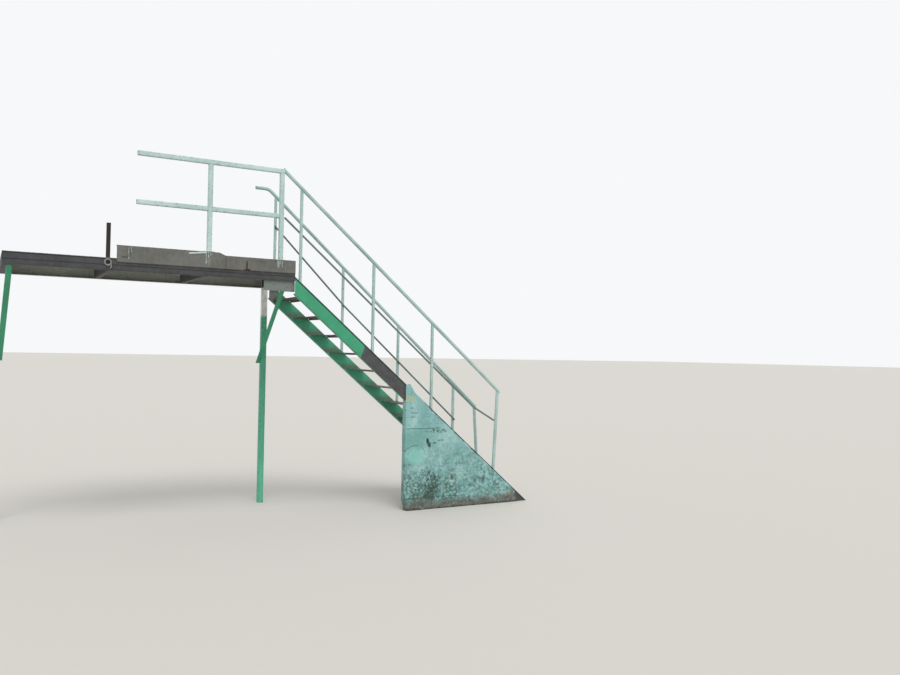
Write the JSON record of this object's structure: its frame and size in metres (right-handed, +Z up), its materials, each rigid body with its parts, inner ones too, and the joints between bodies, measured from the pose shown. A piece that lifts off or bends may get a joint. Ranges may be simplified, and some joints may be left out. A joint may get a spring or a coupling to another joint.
{
  "type": "industrial steel stair with landing",
  "caption": "Straight open-riser steel stair with pipe handrails, rising over a rendered masonry wall to a guarded landing on braced posts; from a factory hall.",
  "frame": {"origin": "middle of the masonry wall's underside, on the floor", "axes": "+X runs down the flight towards its foot, +Y towards the wall side at the back, +Z up"},
  "size_m": [5.43, 1.165, 3.4752],
  "materials": {
    "turquoise_render": "matt painted render, stained",
    "emerald_paint": "semi-gloss paint, scuffed",
    "worn_tread_steel": "worn dark steel",
    "mint_rail_paint": "worn gloss paint",
    "mint_guard_paint": "worn gloss paint",
    "dark_grey_steel": "matt grey paint",
    "light_grey_steel": "matt grey paint, dusty",
    "brown_paint": "rusty dark paint"
  },
  "bodies": {
    "root": {"masonry_wall": "turquoise_render", "near_stringer": "emerald_paint", "far_stringer": "emerald_paint", "stand_right": "emerald_paint", "stand_left": "emerald_paint", "knee_brace_right": "emerald_paint", "knee_brace_left": "emerald_paint", "tread_1": "worn_tread_steel", "tread_2": "worn_tread_steel", "tread_3": "worn_tread_steel", "tread_4": "worn_tread_steel", "tread_5": "worn_tread_steel", "tread_6": "worn_tread_steel", "tread_7": "worn_tread_steel", "tread_8": "worn_tread_steel", "tread_9": "worn_tread_steel", "tread_10": "worn_tread_steel", "tread_11": "worn_tread_steel", "tread_12": "worn_tread_steel", "near_handrail": "mint_rail_paint", "near_end_post": "mint_rail_paint", "near_mid_rail": "mint_rail_paint", "near_post_1": "mint_rail_paint", "near_post_2": "mint_rail_paint", "near_post_3": "mint_rail_paint", "far_handrail": "mint_rail_paint", "far_end_post": "mint_rail_paint", "far_mid_rail": "mint_rail_paint", "far_post_1": "mint_rail_paint", "far_post_2": "mint_rail_paint", "far_post_3": "mint_rail_paint", "far_post_4": "mint_rail_paint", "guard_top_rail": "mint_guard_paint", "guard_mid_rail": "mint_guard_paint", "guard_post": "mint_guard_paint", "corner_post": "mint_guard_paint", "front_beam": "dark_grey_steel", "back_beam": "dark_grey_steel", "header_beam": "dark_grey_steel", "end_beam": "dark_grey_steel", "joists": "dark_grey_steel", "deck_plate": "dark_grey_steel", "splice_plate": "dark_grey_steel", "kerb_low": "light_grey_steel", "kerb_high": "light_grey_steel", "stub_post": "brown_paint"}
  },
  "joints": []
}
